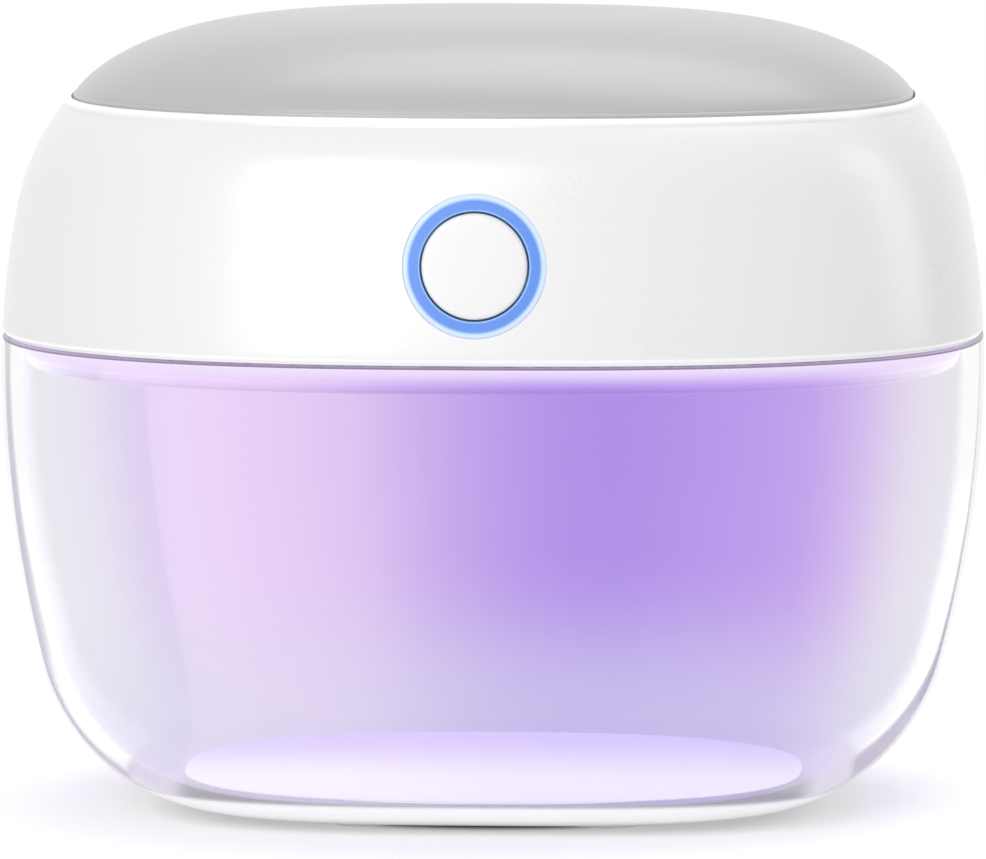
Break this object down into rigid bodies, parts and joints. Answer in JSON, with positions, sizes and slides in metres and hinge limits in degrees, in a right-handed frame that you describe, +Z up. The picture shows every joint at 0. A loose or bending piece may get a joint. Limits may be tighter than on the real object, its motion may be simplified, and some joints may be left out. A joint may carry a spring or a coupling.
{
  "type": "pacifier sterilizer case",
  "caption": "Oval hinged case with a clear bowl, a white lid with a grey domed cap, a push button in a light ring, and ultraviolet lamps in the lid's underside.",
  "frame": {"origin": "on the surface that the feet stand on, under the middle of the whole closed case, hinge included", "axes": "+X along the case's width, to the right of someone who faces the button; +Y from the button to the hinge; +Z up"},
  "size_m": [0.1042, 0.0873, 0.0842],
  "materials": {
    "clear_plastic": "clear, polished, faintly milky",
    "mat_silicone": "soft white silicone, satin",
    "foot_silicone": "soft silicone",
    "magnet": "nickel plate",
    "pin_steel": "ground steel",
    "lid_white": "glossy white",
    "cap_grey": "satin light grey",
    "liner_white": "glossy white",
    "seal_silicone": "soft silicone",
    "quartz": "clear, polished",
    "uv_board": "white solder mask on aluminium",
    "led_ceramic": "white ceramic",
    "board_green": "green solder mask",
    "chip_black": "moulded black",
    "sensor_black": "moulded black",
    "socket_steel": "drawn steel",
    "battery_foil": "silver laminate",
    "tape_foam": "black foam tape",
    "lead_red": "red insulation",
    "lead_white": "white insulation",
    "ribbon": "amber film",
    "ring_glow": "frosted, lit blue",
    "button_white": "satin white",
    "button_board_green": "green solder mask",
    "switch_body": "moulded black",
    "switch_plunger": "moulded",
    "led_lamp": "clear lens",
    "screw_steel": "plated"
  },
  "bodies": {
    "bowl": {"bowl": "clear_plastic", "floor_mat": "mat_silicone", "feet": "foot_silicone", "interlock_magnet": "magnet", "hinge_pin": "pin_steel"},
    "lid": {"lid_shell": "lid_white", "dome_cap": "cap_grey", "lid_liner": "liner_white", "lid_seal": "seal_silicone", "uv_lenses": "quartz", "uv_board": "uv_board", "uv_leds": "led_ceramic", "main_board": "board_green", "board_parts": "chip_black", "hall_sensor": "sensor_black", "usb_socket": "socket_steel", "battery": "battery_foil", "battery_tape": "tape_foam", "battery_lead": "lead_red", "uv_lead": "lead_white", "button_ribbon": "ribbon", "button_ring": "ring_glow", "button_board": "button_board_green", "tact_switch": "switch_body", "ring_leds": "led_lamp", "liner_screws": "screw_steel", "board_screws": "screw_steel", "button_screws": "screw_steel"},
    "button": {"button_cap": "button_white"},
    "plunger": {"switch_plunger": "switch_plunger"}
  },
  "joints": [
    {"name": "lid_hinge", "type": "hinge", "parent": "bowl", "child": "lid", "pos_m": [0, 0.0406, 0.0501], "axis": [-1, 0, 0], "range_deg": [0, 55]},
    {"name": "button_press", "type": "slide", "parent": "lid", "child": "button", "axis": [0, 1, 0], "range_m": [0, 0.0005], "stiffness_N_per_m": 2000},
    {"name": "plunger_press", "type": "slide", "parent": "lid", "child": "plunger", "axis": [0, 1, 0], "range_m": [0, 0.0006]}
  ],
  "couplings": [
    {"joint": "plunger_press", "follows": "button_press", "ratio": 1}
  ]
}
